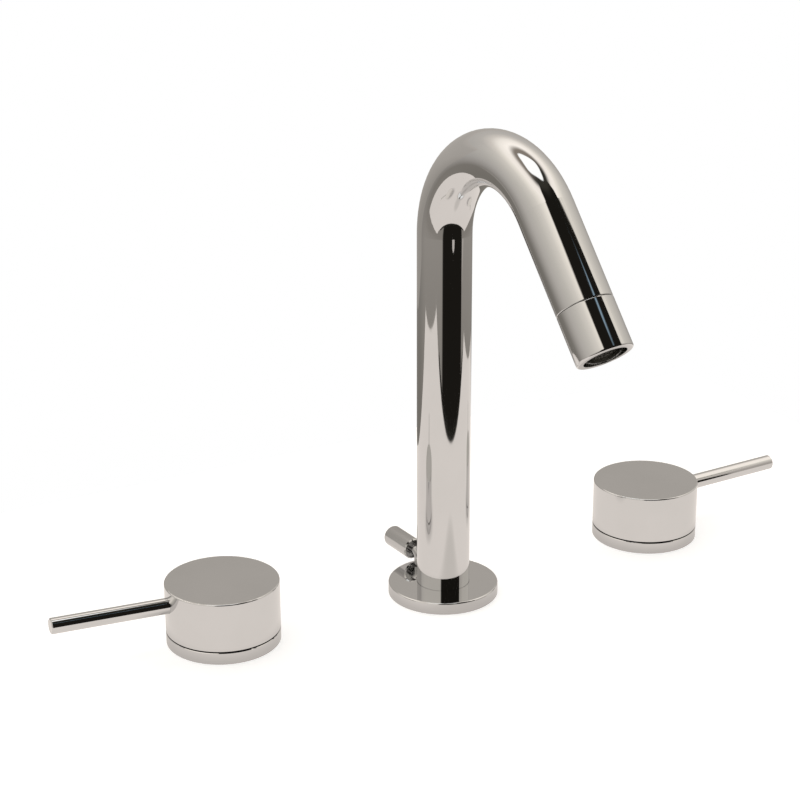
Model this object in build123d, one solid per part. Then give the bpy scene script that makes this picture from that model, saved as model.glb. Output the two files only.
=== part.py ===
from build123d import *
import os
from math import cos, radians, sin, sqrt

# A widespread basin faucet: a bent tube spout with a pop-up lift rod behind it, and a hot
# and a cold quarter-turn valve, each under a round lever handle. Each of the three units
# stands in its own deck hole. +Z is up and -Y is towards the user. The origin is on the
# spout's axis, on top of the deck.

# Where the units stand, and the deck between their plates and their nuts
HOT_X = -113.5
COLD_X = 125.3
HANDLE_Y = 7.4
SPOUT_TURN = 3.5
DECK_THICKNESS = 25.0

# Fits shared by all pieces
FIT_GAP = 0.1
RUNNING_GAP = 0.05
CUT_OVERRUN = 1.0

# Spout tube, bent from one length
TUBE_RADIUS = 12.7
TUBE_WALL = 1.6
POST_TOP = 180.1
BEND_RADIUS = 42.3
BEND_ANGLE = 140.9
TAIL_LENGTH = 68.0
SEAM_GAP = 0.2
SEAM_ROUND = 0.35

# Aerator housing, the end sleeve of the spout, and what it holds
HOUSING_LENGTH = 22.8
HOUSING_SPIGOT = 9.0
HOUSING_WATER_RADIUS = 8.2
TIP_ROUND = 0.8
OUTLET_RADIUS = 9.75
OUTLET_DEPTH = 4.5
INSERT_RADIUS = 9.0
INSERT_HEIGHT = 9.0
INSERT_SINK = 0.2
INSERT_FACE_RADIUS = 8.5
INSERT_FACE_DEPTH = 1.2
INSERT_HOLE_RADIUS = 1.25
INSERT_HOLE_PITCH = 3.5
AERATOR_SEAL_HEIGHT = 1.8
AERATOR_SEAL_BORE = 7.2

# Round plate at the foot of the spout, with a ring gasket let into its underside
PLATE_RADIUS = 26.5
PLATE_HEIGHT = 5.9
PLATE_ROUND = 0.7
FOOT_CHAMFER = 0.3
TUBE_SEAT_DEPTH = 1.0
GASKET_HEIGHT = 1.5
GASKET_RIM = 3.0
PLATE_GASKET_WIDTH = 11.0

# Hollow threaded shank that the tube is fixed on
SHANK_RADIUS = 10.4775
SHANK_BORE = 6.5
SHANK_DEPTH = 56.0
SHANK_HOLE_GAP = 0.25
SPIGOT_LENGTH = 26.0
SPIGOT_CHAMFER = 0.8
SHANK_RING_SECTION = 0.62
SHANK_GROOVE_DEPTH = 1.3
SHANK_GROOVE_WIDTH = 1.8
SHANK_RING_PITCH = 6.5

# Pop-up lift rod, its bush and its knob
ROD_RADIUS = 2.4
ROD_BACK = 21.0
ROD_DEPTH = 170.0
ROD_END_CHAMFER = 0.5
ROD_BEND_RADIUS = 3.0
ROD_IN_KNOB = 8.5
BUSH_RADIUS = 3.5
BUSH_COLLAR_RADIUS = 4.1
BUSH_COLLAR_HEIGHT = 1.1
BUSH_SINK = 0.2
KNOB_HEADING = 2.5
KNOB_RADIUS = 5.2
KNOB_LENGTH = 19.8
KNOB_START = 5.1
KNOB_ABOVE_PLATE = 6.4
KNOB_CHAMFER = 0.6
KNOB_END_ROUND = 1.1

# Clamps under the deck
WASHER_RADIUS = 25.0
RUBBER_HEIGHT = 3.0
STEEL_HEIGHT = 2.0
ROD_NOTCH_WIDTH = 8.0
SPOUT_NUT_FLATS = 26.0
SPOUT_NUT_HEIGHT = 9.0
VALVE_NUT_FLATS = 38.0
VALVE_NUT_HEIGHT = 8.0
NUT_CHAMFER = 0.8

# Tee under the spout, with a side nipple for the hose of each valve
UNION_LAP = 10.0
UNION_LIP = 3.4
TEE_SEAL_HEIGHT = 2.0
TEE_COLLAR_RADIUS = 10.2
TEE_COLLAR_HEIGHT = 2.5
TEE_NECK_RADIUS = 8.0
TEE_RADIUS = 10.0
TEE_REACH = 14.0
TEE_DROP = 20.0
TEE_BORE = 5.0
TEE_NECK_BORE = 5.6
HOSE_NIPPLE_RADIUS = 8.331
HOSE_NIPPLE_REACH = 27.0
NIPPLE_CHAMFER = 0.7

# Base ring under each handle, and the dark ring that the cap glides on
HANDLE_RADIUS = 26.5
BASE_HEIGHT = 5.75
BASE_CHAMFER = 0.2
HANDLE_GROOVE = 0.55
GLIDE_HEIGHT = 1.85
GLIDE_INSET = 2.1
GLIDE_WIDTH = 3.4
GLIDE_GAP = 0.2
BASE_GASKET_WIDTH = 5.0

# Handle cap and its set screw
CAP_TOP = 29.75
CAP_WALL = 3.5
CAP_ROOF = 4.0
CAP_ROUND = 0.6
CAP_FOOT_CHAMFER = 0.25
HUB_RADIUS = 8.5
HUB_FOOT = 15.6
SCREW_RADIUS = 2.5
SCREW_LENGTH = 6.0
SCREW_HEIGHT = 22.0
SCREW_BOSS_RADIUS = 4.5
SCREW_ACCESS_RADIUS = 2.8
SCREW_KEY_FLATS = 2.5
SCREW_KEY_DEPTH = 2.4

# Lever rod, screwed into the side of the cap
LEVER_RADIUS = 3.7
LEVER_REACH = 80.9
LEVER_HEIGHT = 21.5
LEVER_SLOPE = 1.3
LEVER_CHAMFER = 0.45
LEVER_SEAT_DEPTH = 1.6
LEVER_BOSS_RADIUS = 5.5
STUD_RADIUS = 2.5
STUD_LENGTH = 12.0
HOT_HEADING = 175.1
COLD_HEADING = -0.3

# Quarter-turn ceramic cartridge: its stem
STEM_TOP = 24.3
SPLINE_LENGTH = 8.3
SPLINE_TIP_RADIUS = 4.0
SPLINE_ROOT_RADIUS = 3.6
SPLINE_TEETH = 20
TOOTH_FOOT_SHARE = 0.3
TOOTH_TIP_SHARE = 0.15
NECK_RADIUS = 3.2
NECK_LENGTH = 1.4
STEM_RADIUS = 4.5
STEM_RING_SECTION = 0.45
STEM_GROOVE_DEPTH = 0.9
STEM_GROOVE_WIDTH = 1.3
STEM_RING_PITCH = 4.4
STEM_RING_TOP = 10.0
COLLAR_RADIUS = 7.2
COLLAR_HEIGHT = 3.6
LUG_RADIUS = 8.0
TONGUE_LENGTH = 12.0
TONGUE_WIDTH = 3.0
TONGUE_DEPTH = 1.2
TURN_ANGLE = 90.0
LUG_ANGLE = 50.0
STOP_SLACK_ANGLE = 1.0

# Its two ceramic discs, its housing and its seal
DISC_RADIUS = 8.0
DISC_HEIGHT = 3.0
DISC_HUB_RADIUS = 2.6
DISC_RIM = 1.2
PORT_ANGLE = 72.0
CAGE_RADIUS = 9.2
CAGE_BORE = 8.2
CAGE_LIFT = 0.5
WINDOW_ANGLE = 84.0
WINDOW_HEIGHT = 4.5
STOP_HEIGHT = 1.8
CARTRIDGE_RADIUS = 11.9
CARTRIDGE_DEPTH = 3.0
CARTRIDGE_HEX_FLATS = 24.0
CARTRIDGE_HEX_HEIGHT = 4.0
CARTRIDGE_NECK_RADIUS = 7.5
CARTRIDGE_NECK_HEIGHT = 3.0
CARTRIDGE_SEAL_HEIGHT = 2.2
CARTRIDGE_SEAL_BORE = 5.5

# Valve body under each handle: a threaded shank, an inlet below and an outlet at the side
BODY_TOP = 8.0
BODY_RADIUS = 15.0
BODY_THREAD_DEPTH = 46.0
BODY_FOOT_RADIUS = 14.5
BODY_FOOT_DEPTH = 66.0
GALLERY_TOP_DEPTH = 4.0
GALLERY_RADIUS = 11.3
GALLERY_DEPTH = 61.0
SEAT_DEPTH = 22.0
SEAT_RADIUS = 8.6
SEAT_HEIGHT = 2.0
FEED_TUBE_RADIUS = 6.6
FEED_BORE = 4.5
INLET_RADIUS = 10.4775
INLET_LENGTH = 14.0
INLET_BORE = 6.5
INLET_BORE_DEPTH = 10.0
OUTLET_AXIS_DEPTH = 55.0
OUTLET_BOSS_RADIUS = 10.0
OUTLET_BOSS_REACH = 17.5
OUTLET_BORE = 5.0

# Places worked out from the sizes above
TUBE_BORE = TUBE_RADIUS - TUBE_WALL
TUBE_END = TAIL_LENGTH - HOUSING_LENGTH - SEAM_GAP
TUBE_FOOT = PLATE_HEIGHT - TUBE_SEAT_DEPTH
SPIGOT_RADIUS = TUBE_BORE - RUNNING_GAP
SHANK_HOLE_RADIUS = SHANK_RADIUS + SHANK_HOLE_GAP
KNOB_Z = PLATE_HEIGHT + KNOB_ABOVE_PLATE
INSERT_FOOT = -OUTLET_DEPTH - INSERT_SINK
RUBBER_FOOT = -DECK_THICKNESS - RUBBER_HEIGHT
STEEL_FOOT = RUBBER_FOOT - STEEL_HEIGHT
TEE_TOP = -SHANK_DEPTH - TEE_SEAL_HEIGHT
TEE_Z = TEE_TOP - TEE_DROP
CAP_FOOT = BASE_HEIGHT + HANDLE_GROOVE
CAP_BORE = HANDLE_RADIUS - CAP_WALL
CAP_CEILING = CAP_TOP - CAP_ROOF
GLIDE_RADIUS = HANDLE_RADIUS - GLIDE_INSET
GLIDE_BORE = GLIDE_RADIUS - GLIDE_WIDTH
LEVER_START = HANDLE_RADIUS - LEVER_SEAT_DEPTH
SPLINE_FOOT = STEM_TOP - SPLINE_LENGTH
FIXED_DISC_FOOT = CARTRIDGE_SEAL_HEIGHT - SEAT_DEPTH
MOVING_DISC_FOOT = FIXED_DISC_FOOT + DISC_HEIGHT
COLLAR_FOOT = MOVING_DISC_FOOT + DISC_HEIGHT
COLLAR_TOP = COLLAR_FOOT + COLLAR_HEIGHT
STOP_ANGLE = TURN_ANGLE - LUG_ANGLE - 2 * STOP_SLACK_ANGLE


def turned(outline):
    """Turn a closed outline of (radius, height) points about Z."""
    return revolve(Plane.XZ * make_face(Polyline(*outline, close=True)), Axis.Z)


def disc(radius, low, high):
    return Pos(0, 0, low) * extrude(Circle(radius), high - low)


def ring(outer, inner, low, high):
    return Pos(0, 0, low) * extrude(Circle(outer) - Circle(inner), high - low)


def sector(radius, middle, width, low, high):
    """A pie slice about Z, centred on the angle middle."""
    arc = CenterArc((0, 0), radius, middle - width / 2, width)
    outline = [Line((0, 0), arc @ 0), arc, Line(arc @ 1, (0, 0))]
    return Pos(0, 0, low) * extrude(make_face(outline), high - low)


def opposite_sectors(radius, middle, width, low, high):
    """Two pie slices that face each other across the axis."""
    one = sector(radius, middle, width, low, high)
    return one + Rot(0, 0, 180) * one


def bar(plane, radius, start, end):
    """A round bar along a plane's normal, between two distances from its origin."""
    return extrude(plane.offset(start) * Circle(radius), end - start)


def rim(part, radius, centre):
    """The circular edge of a radius that lies nearest to a centre."""
    circles = part.edges().filter_by(GeomType.CIRCLE)
    same = [edge for edge in circles if abs(edge.radius - radius) < RUNNING_GAP / 2]
    return min(same, key=lambda edge: (edge.arc_center - Vector(*centre)).length)


def hex_nut(flats, bore, low, high):
    """A hexagon nut with one flat facing back, its corners turned off at both ends."""
    prism = Pos(0, 0, low) * extrude(
        RegularPolygon(flats / 2, 6, major_radius=False) - Circle(bore), high - low
    )
    corner = flats / sqrt(3)
    return prism & turned([
        (0, low),
        (corner - NUT_CHAMFER, low),
        (corner, low + NUT_CHAMFER),
        (corner, high - NUT_CHAMFER),
        (corner - NUT_CHAMFER, high),
        (0, high),
    ])


def o_ring_pair(floor_radius, section, top, pitch):
    """Two rubber rings, each on the floor of its groove."""
    one = Pos(0, 0, top) * Torus(floor_radius + section, section)
    return Compound(children=[one, Pos(0, 0, -pitch) * one])


def groove_pair(outer, depth, width, top, pitch):
    """The two grooves that such rings lie in, as a solid to cut away."""
    one = ring(outer + CUT_OVERRUN, outer - depth, top - width / 2, top + width / 2)
    return one + Pos(0, 0, -pitch) * one


def underside_gasket(radius, width):
    """A flat ring let into the underside of a plate or base of a radius."""
    outer = radius - GASKET_RIM
    return ring(outer, outer - width, 0, GASKET_HEIGHT)


def gasket_groove(radius, width):
    """The groove for that ring, as a solid to cut away."""
    outer = radius - GASKET_RIM + FIT_GAP
    return ring(outer, outer - width - 2 * FIT_GAP, -CUT_OVERRUN, GASKET_HEIGHT)


def bend_end():
    """The end of the spout's bend, with the normal along the tail, out of the spout."""
    turn = radians(BEND_ANGLE)
    forward = BEND_RADIUS * (1 - cos(turn))
    height = POST_TOP + BEND_RADIUS * sin(turn)
    return Plane((0, -forward, height), x_dir=(1, 0, 0), z_dir=(0, -sin(turn), cos(turn)))


def spout_bar(radius, end):
    """A solid round bar from the plate, up, round the bend and down the tail."""
    post = disc(radius, TUBE_FOOT, POST_TOP)
    bend_axis = Axis((0, -BEND_RADIUS, POST_TOP), (1, 0, 0))
    bend = revolve(Pos(0, 0, POST_TOP) * Circle(radius), bend_axis, BEND_ANGLE)
    return post + bend + bar(bend_end(), radius, 0, end)


def spout_tube():
    tube = spout_bar(TUBE_RADIUS, TUBE_END) - spout_bar(TUBE_BORE, TUBE_END)
    seam = rim(tube, TUBE_RADIUS, bend_end().offset(TUBE_END).origin)
    return fillet(seam, SEAM_ROUND)


def aerator_housing():
    """The end sleeve, with its tip at the origin and its spigot towards -Z."""
    pocket = INSERT_RADIUS + FIT_GAP
    pocket_end = INSERT_HEIGHT + AERATOR_SEAL_HEIGHT - INSERT_FOOT
    back = HOUSING_LENGTH + HOUSING_SPIGOT
    sleeve = turned([
        (OUTLET_RADIUS, 0),
        (TUBE_RADIUS, 0),
        (TUBE_RADIUS, -HOUSING_LENGTH),
        (SPIGOT_RADIUS, -HOUSING_LENGTH),
        (SPIGOT_RADIUS, -back),
        (HOUSING_WATER_RADIUS, -back),
        (HOUSING_WATER_RADIUS, -pocket_end),
        (pocket, -pocket_end),
        (pocket, -OUTLET_DEPTH),
        (OUTLET_RADIUS, -OUTLET_DEPTH),
    ])
    sleeve = fillet(rim(sleeve, TUBE_RADIUS, (0, 0, 0)), TIP_ROUND)
    return fillet(rim(sleeve, TUBE_RADIUS, (0, 0, -HOUSING_LENGTH)), SEAM_ROUND)


def aerator_insert():
    """The flow straightener: a round plug with a dished, perforated face."""
    foot = INSERT_FOOT
    plug = disc(INSERT_RADIUS, foot - INSERT_HEIGHT, foot)
    plug -= disc(INSERT_FACE_RADIUS, foot - INSERT_FACE_DEPTH, foot + CUT_OVERRUN)
    places = [Pos(0, 0)] + list(PolarLocations(INSERT_HOLE_PITCH, 6))
    places += list(PolarLocations(2 * INSERT_HOLE_PITCH, 12))
    holes = [place * Circle(INSERT_HOLE_RADIUS) for place in places]
    through = extrude(Sketch() + holes, INSERT_HEIGHT + 2 * CUT_OVERRUN)
    return plug - Pos(0, 0, foot - INSERT_HEIGHT - CUT_OVERRUN) * through


def aerator_seal():
    top = INSERT_FOOT - INSERT_HEIGHT
    return ring(INSERT_RADIUS, AERATOR_SEAL_BORE, top - AERATOR_SEAL_HEIGHT, top)


def shank_ring_top():
    return TUBE_FOOT + SPIGOT_LENGTH - SHANK_RING_PITCH


def spout_shank():
    top = TUBE_FOOT + SPIGOT_LENGTH
    shank = turned([
        (SHANK_BORE, -SHANK_DEPTH),
        (SHANK_RADIUS, -SHANK_DEPTH),
        (SHANK_RADIUS, TUBE_FOOT),
        (SPIGOT_RADIUS, TUBE_FOOT),
        (SPIGOT_RADIUS, top - SPIGOT_CHAMFER),
        (SPIGOT_RADIUS - SPIGOT_CHAMFER, top),
        (SHANK_BORE, top),
    ])
    return shank - groove_pair(
        SPIGOT_RADIUS, SHANK_GROOVE_DEPTH, SHANK_GROOVE_WIDTH, shank_ring_top(), SHANK_RING_PITCH
    )


def shank_rings():
    floor = SPIGOT_RADIUS - SHANK_GROOVE_DEPTH
    return o_ring_pair(floor, SHANK_RING_SECTION, shank_ring_top(), SHANK_RING_PITCH)


def spout_plate():
    plate = ring(PLATE_RADIUS, SHANK_HOLE_RADIUS, 0, PLATE_HEIGHT)
    plate = fillet(rim(plate, PLATE_RADIUS, (0, 0, PLATE_HEIGHT)), PLATE_ROUND)
    plate = chamfer(rim(plate, PLATE_RADIUS, (0, 0, 0)), FOOT_CHAMFER)
    plate -= gasket_groove(PLATE_RADIUS, PLATE_GASKET_WIDTH)
    plate -= disc(TUBE_RADIUS + FIT_GAP, TUBE_FOOT, PLATE_HEIGHT + CUT_OVERRUN)
    plate -= collar_pocket()
    return plate - Pos(0, ROD_BACK, 0) * disc(BUSH_RADIUS + FIT_GAP, 0, PLATE_HEIGHT + CUT_OVERRUN)


def spout_gasket():
    return underside_gasket(PLATE_RADIUS, PLATE_GASKET_WIDTH) - collar_pocket()


def collar_pocket():
    """The room for the bush's collar in the underside, as a solid to cut away."""
    room = disc(BUSH_COLLAR_RADIUS + FIT_GAP, -CUT_OVERRUN, GASKET_HEIGHT)
    return Pos(0, ROD_BACK, 0) * room


def lift_rod_bush():
    collar_foot = GASKET_HEIGHT - BUSH_COLLAR_HEIGHT
    bore = ROD_RADIUS + RUNNING_GAP
    sleeve = ring(BUSH_RADIUS, bore, GASKET_HEIGHT, PLATE_HEIGHT - BUSH_SINK)
    return sleeve + ring(BUSH_COLLAR_RADIUS, bore, collar_foot, GASKET_HEIGHT)


def lift_rod():
    """The rod on the Z axis, with its elbow turned towards +Y."""
    elbow_foot = KNOB_Z - ROD_BEND_RADIUS
    upright = disc(ROD_RADIUS, -ROD_DEPTH, elbow_foot)
    upright = chamfer(rim(upright, ROD_RADIUS, (0, 0, -ROD_DEPTH)), ROD_END_CHAMFER)
    elbow_axis = Axis((0, ROD_BEND_RADIUS, elbow_foot), (-1, 0, 0))
    elbow = revolve(Pos(0, 0, elbow_foot) * Circle(ROD_RADIUS), elbow_axis, 90)
    knob_axis = Plane((0, 0, KNOB_Z), x_dir=(1, 0, 0), z_dir=(0, 1, 0))
    arm = bar(knob_axis, ROD_RADIUS, ROD_BEND_RADIUS, KNOB_START + ROD_IN_KNOB)
    return upright + elbow + arm


def lift_knob():
    """The knob along +Y, with a blind hole for the rod in its front face."""
    knob_axis = Plane((0, 0, KNOB_Z), x_dir=(1, 0, 0), z_dir=(0, 1, 0))
    end = KNOB_START + KNOB_LENGTH
    knob = bar(knob_axis, KNOB_RADIUS, KNOB_START, end)
    knob = chamfer(rim(knob, KNOB_RADIUS, (0, KNOB_START, KNOB_Z)), KNOB_CHAMFER)
    knob = fillet(rim(knob, KNOB_RADIUS, (0, end, KNOB_Z)), KNOB_END_ROUND)
    hole_end = KNOB_START + ROD_IN_KNOB + FIT_GAP
    return knob - bar(knob_axis, ROD_RADIUS + RUNNING_GAP, KNOB_START - CUT_OVERRUN, hole_end)


def deck_washer(bore, low, high):
    return ring(WASHER_RADIUS, bore, low, high)


def notched_washer(low, high):
    """A spout washer, open at the back where the lift rod passes."""
    length = WASHER_RADIUS + CUT_OVERRUN - ROD_BACK
    notch = Pos(0, ROD_BACK) * Circle(ROD_NOTCH_WIDTH / 2)
    notch += Pos(0, ROD_BACK + length / 2) * Rectangle(ROD_NOTCH_WIDTH, length)
    cut = Pos(0, 0, low - CUT_OVERRUN) * extrude(notch, high - low + 2 * CUT_OVERRUN)
    return deck_washer(SHANK_HOLE_RADIUS, low, high) - cut


def spout_nut():
    return hex_nut(
        SPOUT_NUT_FLATS, SHANK_RADIUS + RUNNING_GAP, STEEL_FOOT - SPOUT_NUT_HEIGHT, STEEL_FOOT
    )


def union_nut():
    """The nut that pulls the tee's collar up against the shank's end."""
    lip_top = TEE_TOP - TEE_COLLAR_HEIGHT - RUNNING_GAP
    nut = hex_nut(
        SPOUT_NUT_FLATS, TEE_NECK_RADIUS + FIT_GAP, lip_top - UNION_LIP, UNION_LAP - SHANK_DEPTH
    )
    return nut - disc(SHANK_RADIUS + RUNNING_GAP, lip_top, 0)


def tee_seal():
    return ring(TEE_COLLAR_RADIUS, SHANK_BORE, TEE_TOP, -SHANK_DEPTH)


def side_axis(height):
    """A plane on the Z axis that looks along +X at a height."""
    return Plane((0, 0, height), x_dir=(0, 1, 0), z_dir=(1, 0, 0))


def hose_nipple(height):
    """A male nipple towards +X, its mouth chamfered."""
    nipple = bar(side_axis(height), HOSE_NIPPLE_RADIUS, 0, HOSE_NIPPLE_REACH)
    mouth = rim(nipple, HOSE_NIPPLE_RADIUS, (HOSE_NIPPLE_REACH, 0, height))
    return chamfer(mouth, NIPPLE_CHAMFER)


def spout_tee():
    nipple = hose_nipple(TEE_Z)
    tee = disc(TEE_COLLAR_RADIUS, TEE_TOP - TEE_COLLAR_HEIGHT, TEE_TOP)
    tee += disc(TEE_NECK_RADIUS, TEE_Z, TEE_TOP)
    tee += bar(side_axis(TEE_Z), TEE_RADIUS, -TEE_REACH, TEE_REACH)
    tee += nipple
    tee += Rot(0, 0, 180) * nipple
    tee -= disc(TEE_NECK_BORE, TEE_Z, TEE_TOP + CUT_OVERRUN)
    mouth = HOSE_NIPPLE_REACH + CUT_OVERRUN
    return tee - bar(side_axis(TEE_Z), TEE_BORE, -mouth, mouth)


def glide_ring():
    top = CAP_FOOT - GLIDE_GAP
    return ring(GLIDE_RADIUS, GLIDE_BORE, top - GLIDE_HEIGHT, top)


def base_ring():
    base = ring(HANDLE_RADIUS, BODY_RADIUS + FIT_GAP, 0, BASE_HEIGHT)
    base = chamfer(rim(base, HANDLE_RADIUS, (0, 0, BASE_HEIGHT)), BASE_CHAMFER)
    base = chamfer(rim(base, HANDLE_RADIUS, (0, 0, 0)), FOOT_CHAMFER)
    base -= gasket_groove(HANDLE_RADIUS, BASE_GASKET_WIDTH)
    groove_floor = CAP_FOOT - GLIDE_GAP - GLIDE_HEIGHT
    return base - ring(GLIDE_RADIUS + FIT_GAP, GLIDE_BORE - FIT_GAP, groove_floor, CAP_FOOT)


def base_gasket():
    return underside_gasket(HANDLE_RADIUS, BASE_GASKET_WIDTH)


def lever_axis():
    """The lever's axis, from the handle's centre out over +X and a little upwards."""
    slope = radians(LEVER_SLOPE)
    return Plane((0, 0, LEVER_HEIGHT), x_dir=(0, 1, 0), z_dir=(cos(slope), 0, sin(slope)))


def screw_axis(side):
    """The set screw's axis, square to the lever, on the side that faces the wall."""
    return Plane((0, 0, SCREW_HEIGHT), x_dir=(1, 0, 0), z_dir=(0, side, 0))


def spline_face(gap):
    """The outline of the stem's spline, grown by a gap for the socket that it enters."""
    points = []
    for tooth in range(SPLINE_TEETH):
        for share, radius in (
            (-TOOTH_FOOT_SHARE, SPLINE_ROOT_RADIUS),
            (-TOOTH_TIP_SHARE, SPLINE_TIP_RADIUS),
            (TOOTH_TIP_SHARE, SPLINE_TIP_RADIUS),
            (TOOTH_FOOT_SHARE, SPLINE_ROOT_RADIUS),
        ):
            angle = radians(360 / SPLINE_TEETH * (tooth + share))
            points.append(((radius + gap) * cos(angle), (radius + gap) * sin(angle)))
    return make_face(Polyline(*points, close=True))


def handle_cap(side):
    """The puck, hollow below, with a hub for the stem and bosses for lever and screw."""
    cap = disc(HANDLE_RADIUS, CAP_FOOT, CAP_TOP)
    cap = fillet(rim(cap, HANDLE_RADIUS, (0, 0, CAP_TOP)), CAP_ROUND)
    cap = chamfer(rim(cap, HANDLE_RADIUS, (0, 0, CAP_FOOT)), CAP_FOOT_CHAMFER)
    cap -= disc(CAP_BORE, CAP_FOOT - CUT_OVERRUN, CAP_CEILING)
    inside_wall = HANDLE_RADIUS - CAP_WALL / 2
    cap += disc(HUB_RADIUS, HUB_FOOT, CAP_CEILING)
    cap += bar(lever_axis(), LEVER_BOSS_RADIUS, 0, inside_wall)
    cap += bar(screw_axis(side), SCREW_BOSS_RADIUS, 0, inside_wall)
    outside = HANDLE_RADIUS + CUT_OVERRUN
    cap -= bar(lever_axis(), LEVER_RADIUS + RUNNING_GAP, LEVER_START, outside)
    stud_end = LEVER_START - STUD_LENGTH - FIT_GAP
    cap -= bar(lever_axis(), STUD_RADIUS + RUNNING_GAP, stud_end, outside)
    cap -= bar(screw_axis(side), SCREW_RADIUS + RUNNING_GAP, 0, outside)
    cap -= bar(screw_axis(side), SCREW_ACCESS_RADIUS, HUB_RADIUS + SCREW_RADIUS, outside)
    socket = extrude(spline_face(RUNNING_GAP), STEM_TOP + FIT_GAP - HUB_FOOT + CUT_OVERRUN)
    return cap - Pos(0, 0, HUB_FOOT - CUT_OVERRUN) * socket


def lever_rod():
    lever = bar(lever_axis(), LEVER_RADIUS, LEVER_START, LEVER_REACH)
    tip = rim(lever, LEVER_RADIUS, lever_axis().offset(LEVER_REACH).origin)
    lever = chamfer(tip, LEVER_CHAMFER)
    return lever + bar(lever_axis(), STUD_RADIUS, LEVER_START - STUD_LENGTH, LEVER_START)


def set_screw(side):
    """A headless screw that bears on the spline, with a hexagon socket in its outer end."""
    start = SPLINE_TIP_RADIUS + FIT_GAP
    end = start + SCREW_LENGTH
    key = screw_axis(side).offset(end - SCREW_KEY_DEPTH)
    recess = extrude(key * RegularPolygon(SCREW_KEY_FLATS / 2, 6, major_radius=False), SCREW_LENGTH)
    return bar(screw_axis(side), SCREW_RADIUS, start, end) - recess


def cartridge_stem():
    """The stem: spline, sealed shaft, collar with two stop lugs, and a drive tongue."""
    neck_foot = SPLINE_FOOT - NECK_LENGTH
    stem = Pos(0, 0, SPLINE_FOOT) * extrude(spline_face(0), SPLINE_LENGTH)
    stem += disc(NECK_RADIUS, neck_foot, SPLINE_FOOT)
    stem += disc(STEM_RADIUS, COLLAR_TOP, neck_foot)
    stem -= groove_pair(
        STEM_RADIUS, STEM_GROOVE_DEPTH, STEM_GROOVE_WIDTH, STEM_RING_TOP, STEM_RING_PITCH
    )
    stem += disc(COLLAR_RADIUS, COLLAR_FOOT, COLLAR_TOP)
    stem += opposite_sectors(LUG_RADIUS, 0, LUG_ANGLE, COLLAR_FOOT, COLLAR_TOP)
    tongue = extrude(Rectangle(TONGUE_WIDTH, TONGUE_LENGTH), TONGUE_DEPTH)
    return stem + Pos(0, 0, COLLAR_FOOT - TONGUE_DEPTH) * tongue


def stem_rings():
    floor = STEM_RADIUS - STEM_GROOVE_DEPTH
    return o_ring_pair(floor, STEM_RING_SECTION, STEM_RING_TOP, STEM_RING_PITCH)


def moving_disc():
    """The turning disc: a bow tie whose two lands cover the ports when closed."""
    low = MOVING_DISC_FOOT
    lands = disc(DISC_RADIUS, low, COLLAR_FOOT)
    lands -= opposite_sectors(
        DISC_RADIUS + CUT_OVERRUN, 0, PORT_ANGLE, low - CUT_OVERRUN, COLLAR_FOOT + CUT_OVERRUN
    )
    tie = lands + disc(DISC_HUB_RADIUS, low, COLLAR_FOOT)
    slot = extrude(
        Rectangle(TONGUE_WIDTH + 2 * FIT_GAP, TONGUE_LENGTH + 2 * FIT_GAP),
        TONGUE_DEPTH + FIT_GAP + CUT_OVERRUN,
    )
    return tie - Pos(0, 0, COLLAR_FOOT - TONGUE_DEPTH - FIT_GAP) * slot


def fixed_disc():
    """The still disc, with two ports square to the lever's closed line."""
    low, high = FIXED_DISC_FOOT, MOVING_DISC_FOOT
    ports = opposite_sectors(
        DISC_RADIUS - DISC_RIM, 90, PORT_ANGLE, low - CUT_OVERRUN, high + CUT_OVERRUN
    )
    ports -= disc(DISC_HUB_RADIUS, low - CUT_OVERRUN, high + CUT_OVERRUN)
    return disc(DISC_RADIUS, low, high) - ports


def cartridge_housing(turn):
    """The screw-in housing. Its two stops let the stem turn a quarter in one direction."""
    foot = CAGE_LIFT - SEAT_DEPTH
    hex_top = BODY_TOP + CARTRIDGE_HEX_HEIGHT
    top = hex_top + CARTRIDGE_NECK_HEIGHT
    ceiling = COLLAR_TOP + RUNNING_GAP
    housing = disc(CAGE_RADIUS, foot, -CARTRIDGE_DEPTH)
    housing += disc(CARTRIDGE_RADIUS, -CARTRIDGE_DEPTH, BODY_TOP)
    housing += hex_nut(CARTRIDGE_HEX_FLATS, STEM_RADIUS, BODY_TOP, hex_top)
    housing += ring(CARTRIDGE_NECK_RADIUS, STEM_RADIUS, hex_top, top)
    housing -= disc(STEM_RADIUS + RUNNING_GAP, foot - CUT_OVERRUN, top + CUT_OVERRUN)
    housing -= disc(CAGE_BORE, foot - CUT_OVERRUN, ceiling)
    windows = opposite_sectors(
        CAGE_RADIUS + CUT_OVERRUN, 90, WINDOW_ANGLE, MOVING_DISC_FOOT, MOVING_DISC_FOOT + WINDOW_HEIGHT
    )
    housing -= windows
    stop_middle = turn * (TURN_ANGLE + LUG_ANGLE / 2 + STOP_SLACK_ANGLE + STOP_ANGLE / 2)
    wall_middle = (CAGE_RADIUS + CAGE_BORE) / 2
    stops = opposite_sectors(wall_middle, stop_middle, STOP_ANGLE, ceiling - STOP_HEIGHT, ceiling)
    return housing + (stops - disc(COLLAR_RADIUS + FIT_GAP, ceiling - STOP_HEIGHT, ceiling))


def cartridge_seal():
    return ring(DISC_RADIUS, CARTRIDGE_SEAL_BORE, -SEAT_DEPTH, FIXED_DISC_FOOT)


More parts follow.
